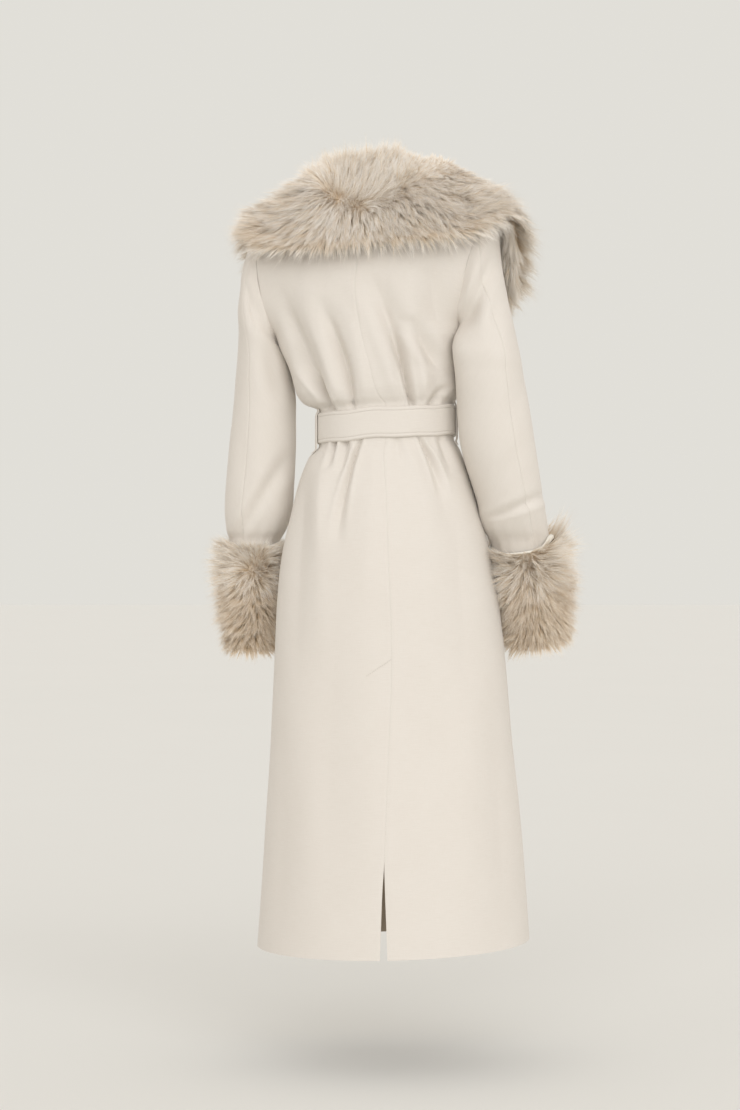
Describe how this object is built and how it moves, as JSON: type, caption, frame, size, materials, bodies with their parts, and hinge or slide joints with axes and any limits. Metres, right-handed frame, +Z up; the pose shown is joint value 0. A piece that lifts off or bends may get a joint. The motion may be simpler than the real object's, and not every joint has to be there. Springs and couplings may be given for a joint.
{
  "type": "fur-trimmed coat",
  "caption": "Long ivory wool wrap coat with a wide greige fur shawl collar, fur cuffs, a tie belt and a back vent, hollow and shaped as worn.",
  "frame": {"origin": "middle of the neck opening, level with the nape of the neckline", "axes": "+Z up, +Y towards the coat's back, +X towards the wearer's left"},
  "size_m": [0.6676, 0.3711, 1.4304],
  "materials": {
    "wool": "matt brushed wool coating, ivory",
    "fur": "long-haired greige fur with brown roots and pale tips"
  },
  "bodies": {
    "root": {"back_left": "wool", "back_right": "wool", "front_left": "wool", "front_right": "wool", "sleeve_left_upper": "wool", "sleeve_left_under": "wool", "sleeve_right_upper": "wool", "sleeve_right_under": "wool", "belt": "wool", "belt_knot": "wool", "belt_tail_left": "wool", "belt_tail_right": "wool", "belt_loop_left": "wool", "belt_loop_right": "wool", "collar_left": "fur", "collar_right": "fur", "cuff_left": "fur", "cuff_right": "fur"}
  },
  "joints": []
}
